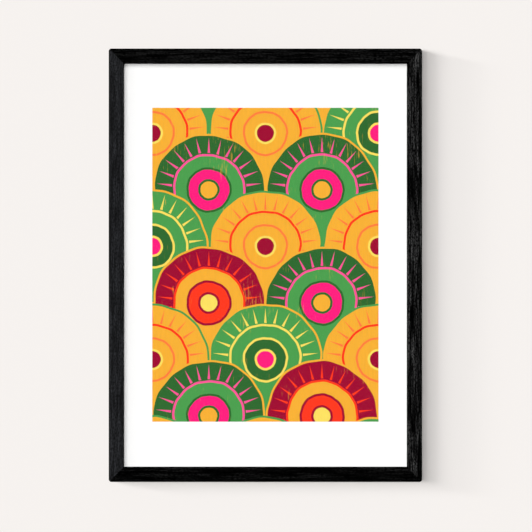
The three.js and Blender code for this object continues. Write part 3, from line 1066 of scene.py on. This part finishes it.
def buildButtons():
    zinc = brightZincPlate("brightZincPlate")
    plate, screw = turnButtonPlate(), panHeadScrew()
    pivots = [Vector(joint["pos_m"]) for joint in frame["joints"]]
    draw = random.Random(screwLook["turnSeed"])
    for i, (joint, pivot) in enumerate(zip(frame["joints"], pivots)):
        pivot.y = 0
        arm = boxOf(f"turn_button_{i + 1}")[2] - pivot
        # from pointing down to pointing where this one's arm lies
        degrees = math.degrees(math.atan2(-arm.x, -arm.z))
        move = Matrix.Translation(pivot - pivots[0])
        turned = aboutWallAxis(pivot, degrees) @ move
        button = copyOf(plate, f"turnButton{i + 1}", turned)
        finishPiece(button, zinc, f"turn_button_{i + 1}", joint["child"])
        driven = aboutWallAxis(pivot, draw.uniform(0, 90)) @ move
        fixing = copyOf(screw, f"turnButtonScrew{i + 1}", driven)
        finishPiece(fixing, zinc, f"turn_button_screw_{i + 1}")
    bpy.data.objects.remove(plate)
    bpy.data.objects.remove(screw)


hangerLook = {
    "middleHalf": 13 * mm, "rampEnd": 16.5 * mm, "rise": 2.2 * mm, "thickness": 1 * mm,
    "bendRadius": 0.9 * mm, "notches": 7, "pitch": 3.2 * mm, "notchShare": 0.94,
    "notchDepth": 1.8 * mm, "notchCutter": 8 * mm,
    "nailHole": 1.15 * mm, "holeCutter": 6 * mm, "roundedEdge": 0.15 * mm,
    "bendsWithin": 20 * mm,       # of the middle
    "shortestBend": 5 * mm,
}

nailLook = {
    "head": 2.1 * mm, "headHeight": 0.9 * mm, "domed": 0.65 * mm,
    "shank": 0.9 * mm, "point": 2 * mm, "tipShare": 0.05,
}

padLook = {
    "undersize": 0.05 * mm, "insets": (1 * mm, 2 * mm), "softRim": 0.6 * mm,
    "ragged": 0.12 * mm, "raggedSeed": 3,
}


def sawtoothHanger():
    # a pressed strip: its ends lie on the rail and its toothed middle stands clear
    look = hangerLook
    low, high, centre = boxOf("sawtooth_hanger")
    strip = addBlock("sawtoothHanger", low, (high.x, low.y + look["thickness"], high.z))
    editStart(strip)
    for x in (look["middleHalf"], look["rampEnd"]):
        for side in (1, -1):
            bpy.ops.mesh.select_all(action="SELECT")
            bpy.ops.mesh.bisect(plane_co=centre + xAxis * x * side, plane_no=xAxis)
    pick(strip, "VERT", lambda v: abs(v.co.x - centre.x) < look["middleHalf"] + 0.05 * mm)
    bpy.ops.transform.translate(value=(0, look["rise"], 0))
    # the long edges across the strip where it bends, not those at its two ends
    roundEdges(strip, look["bendRadius"], 4, lambda e: (
        near(e.verts[0].co.x, e.verts[1].co.x) and not runsInDepth(e)
        and e.calc_length() > look["shortestBend"]
        and abs(e.verts[0].co.x - centre.x) < look["bendsWithin"]))
    editDone()
    # each notch is a three-sided bar, point up, stretched to the notch's depth
    radius = look["pitch"] * look["notchShare"] * 3 ** 0.5 / 2
    stretch = look["notchDepth"] / radius
    for i in range(look["notches"]):
        x = centre.x + (i - (look["notches"] - 1) / 2) * look["pitch"]
        bpy.ops.mesh.primitive_cylinder_add(
            vertices=3, radius=radius, depth=look["notchCutter"],
            location=(x, centre.y, low.z), rotation=(math.pi / 2, 0, 0))
        notch = placed("notch")
        editStart(notch)
        pick(notch, "VERT", lambda v: v.co.z > low.z)
        bpy.ops.transform.resize(value=(1, 1, stretch), center_override=(x, 0, low.z))
        editDone()
        cutWith(strip, notch)
    for node in ("hanger_nail_left", "hanger_nail_right"):
        nail = boxOf(node)[2]
        through = (nail.x, low.y, nail.z)
        cutWith(strip, addDisc("nailHole", look["nailHole"], look["holeCutter"], through, 28))
    applyModifier(strip, "BEVEL", width=look["roundedEdge"], segments=2,
                  limit_method="ANGLE", angle_limit=math.radians(35))
    smoothByAngle(strip, 38)
    return strip


def domedNail():
    look = nailLook
    low, high, centre = boxOf("hanger_nail_left")
    headFront = high.y - look["headHeight"]
    nail = addDisc("domedNail", look["head"], high.y - headFront,
                   (centre.x, (high.y + headFront) / 2, centre.z), 28)
    editStart(nail)
    roundRim(nail, high.y, look["domed"], 4)
    pick(nail, "FACE", lambda f: f.normal.y < -0.9)
    bpy.ops.mesh.inset(thickness=look["head"] - look["shank"])
    extrudeForwards(headFront - low.y - look["point"], 1, centre)
    extrudeForwards(look["point"], look["tipShare"], centre)
    editDone()
    smoothByAngle(nail, 35)
    return nail


def feltPad(node):
    look = padLook
    low, high, centre = boxOf(node)
    radius = (high.x - low.x) / 2 - look["undersize"]
    pad = addDisc(node.replace("_", "") + "Felt", radius, high.y - low.y, centre, 48)
    editStart(pad)
    pick(pad, "FACE", lambda f: abs(f.normal.y) > 0.5)
    for width in look["insets"]:
        bpy.ops.mesh.inset(thickness=width)
    roundEdges(pad, look["softRim"], 3, lambda e: not runsInDepth(e) and all(
        (v.co - centre).length > radius - 0.15 * mm for v in e.verts))
    # die-cut felt: the rim is a little ragged
    draw = random.Random(look["raggedSeed"])
    mesh = bmesh.from_edit_mesh(pad.data)
    for v in mesh.verts:
        out = Vector((v.co.x - centre.x, 0, v.co.z - centre.z))
        if out.length > radius - look["insets"][0] + 0.05 * mm:
            v.co -= out.normalized() * draw.uniform(0, look["ragged"])
    bmesh.update_edit_mesh(pad.data)
    editDone()
    smoothByAngle(pad, 50)
    return pad


def buildFittings():
    brass = brassPlate("rolledBrassPlate")
    finishPiece(sawtoothHanger(), brass, "sawtooth_hanger")
    nail = domedNail()
    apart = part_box("hanger_nail_right")[0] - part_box("hanger_nail_left")[0]
    other = copyOf(nail, "domedNailRight", Matrix.Translation(apart))
    nail.name = nail.data.name = "domedNailLeft"
    finishPiece(nail, brass, "hanger_nail_left")
    finishPiece(other, brass, "hanger_nail_right")
    felt = charcoalFelt("charcoalWoolFelt")
    for node in ("wall_pad_left", "wall_pad_right"):
        finishPiece(feltPad(node), felt, node)
    steel = hardenedStrip("hardenedStripSteel")
    for name, node in frame["nodes"].items():
        if name.startswith("v_nail"):
            node.data.materials.clear()
            node.data.materials.append(steel)


buildButtons()
buildFittings()
print("fittings made")

buildLight(stage)
print("light ready")
